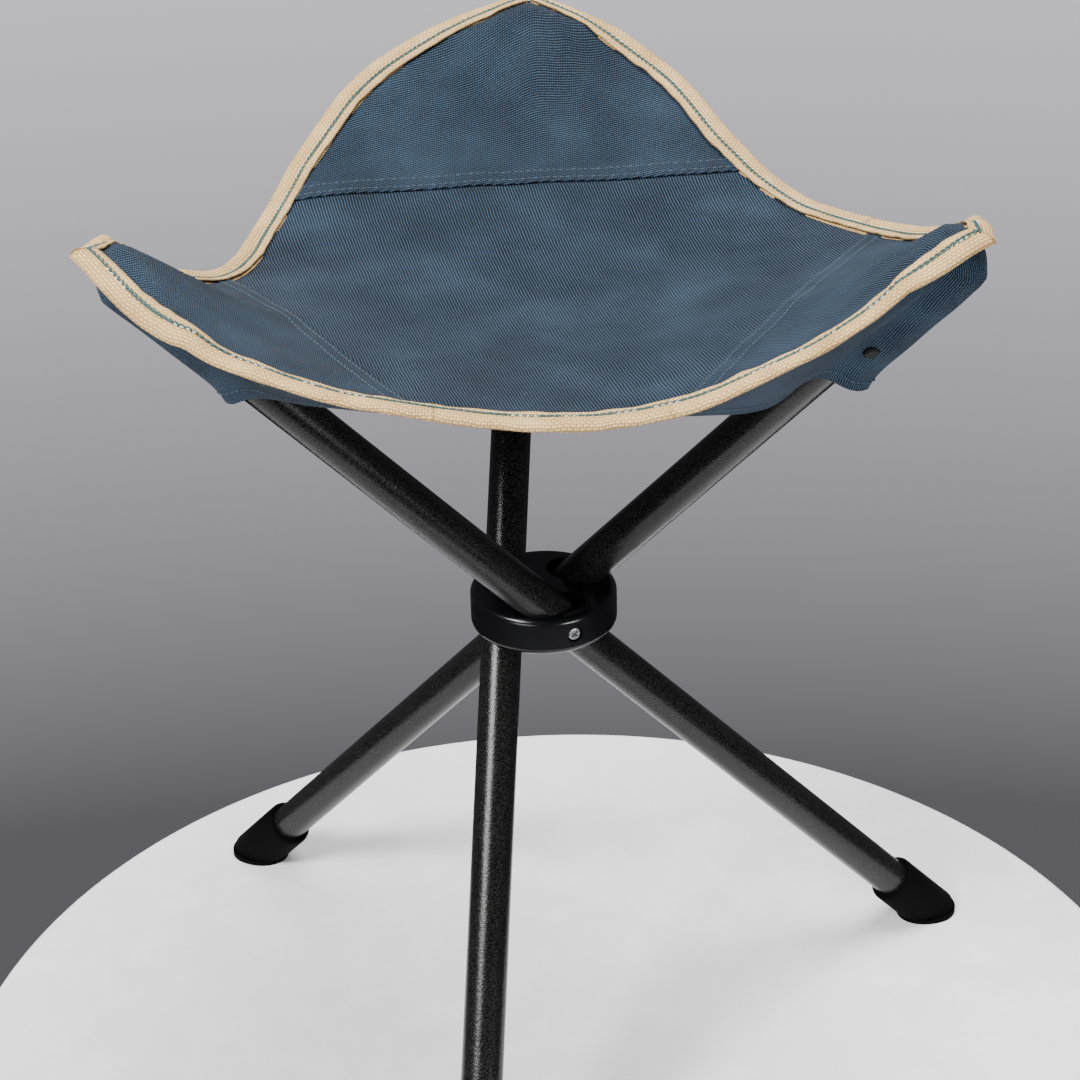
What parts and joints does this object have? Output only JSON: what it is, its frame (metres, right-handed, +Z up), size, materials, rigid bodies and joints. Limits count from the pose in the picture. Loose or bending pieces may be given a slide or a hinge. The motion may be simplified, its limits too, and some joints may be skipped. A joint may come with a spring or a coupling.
{
  "type": "three leg stool",
  "caption": "Folding camp stool: tubular legs crossing in a slotted hub, with a triangular slung cloth seat held on the leg tops by corner pockets.",
  "frame": {"origin": "on the floor, at the middle of the part's footprint; the hub's vertical axis stands at x -13.25 mm, y 7.57 mm", "axes": "+Z up, -Y the front: the side between the two front seat corners, from which leg c's foot points"},
  "size_m": [0.3996, 0.4272, 0.4608],
  "materials": {
    "hub": "moulded, glossy",
    "screw": "zinc plated",
    "tube": "hammered black powder coat",
    "foot": "matt",
    "plug": "matt",
    "cloth": "heavy woven slate blue cloth",
    "tape": "ribbed cotton tape",
    "rivet": "black"
  },
  "bodies": {
    "hub": {"hub": "hub", "pivot_screw_a": "screw", "pivot_screw_b": "screw", "pivot_screw_c": "screw"},
    "leg_a": {"leg_tube_a": "tube", "leg_foot_a": "foot", "leg_end_plug_a": "plug", "pocket_rivet_a": "rivet", "pocket_a": "cloth", "corner_patch_a": "cloth"},
    "leg_b": {"leg_tube_b": "tube", "leg_foot_b": "foot", "leg_end_plug_b": "plug", "pocket_rivet_b": "rivet", "pocket_b": "cloth", "corner_patch_b": "cloth"},
    "leg_c": {"leg_tube_c": "tube", "leg_foot_c": "foot", "leg_end_plug_c": "plug", "pocket_rivet_c": "rivet", "pocket_c": "cloth", "corner_patch_c": "cloth"},
    "seat_a": {"seat_panel": "cloth", "binding_front": "tape"},
    "seat_b": {"binding_right": "tape"},
    "seat_c": {"binding_left": "tape"}
  },
  "joints": [
    {"name": "leg_a_fold", "type": "hinge", "parent": "hub", "child": "leg_a", "pos_m": [-0.00544, -0.00964, 0.23409], "axis": [-0.4131, 0.9107, 0], "range_deg": [0, 42], "deforming": ["seat_panel", "corner_patch_a", "corner_patch_b", "corner_patch_c", "pocket_a", "pocket_b", "pocket_c", "binding_front", "binding_right", "binding_left"]},
    {"name": "leg_b_fold", "type": "hinge", "parent": "hub", "child": "leg_b", "pos_m": [-0.00225, 0.02294, 0.23409], "axis": [-0.5821, -0.8131, 0], "range_deg": [0, 42]},
    {"name": "leg_c_fold", "type": "hinge", "parent": "hub", "child": "leg_c", "pos_m": [-0.03206, 0.00941, 0.23409], "axis": [0.9952, -0.0976, 0], "range_deg": [0, 42]},
    {"name": "seat_a_rise", "type": "hinge", "parent": "leg_a", "child": "seat_a", "pos_m": [-0.18337, -0.09036, 0.15909], "axis": [0.4131, -0.9107, 0], "range_deg": [0, 42]},
    {"name": "seat_b_rise", "type": "hinge", "parent": "leg_b", "child": "seat_b", "pos_m": [0.15662, -0.0908, 0.15909], "axis": [0.5821, 0.8131, 0], "range_deg": [0, 42]},
    {"name": "seat_c_rise", "type": "hinge", "parent": "leg_c", "child": "seat_c", "pos_m": [-0.01299, 0.20386, 0.15909], "axis": [-0.9952, 0.0976, 0], "range_deg": [0, 42]}
  ],
  "couplings": [
    {"joint": "leg_b_fold", "follows": "leg_a_fold", "ratio": 1},
    {"joint": "leg_c_fold", "follows": "leg_a_fold", "ratio": 1},
    {"joint": "seat_a_rise", "follows": "leg_a_fold", "ratio": 1},
    {"joint": "seat_b_rise", "follows": "leg_a_fold", "ratio": 1},
    {"joint": "seat_c_rise", "follows": "leg_a_fold", "ratio": 1}
  ]
}
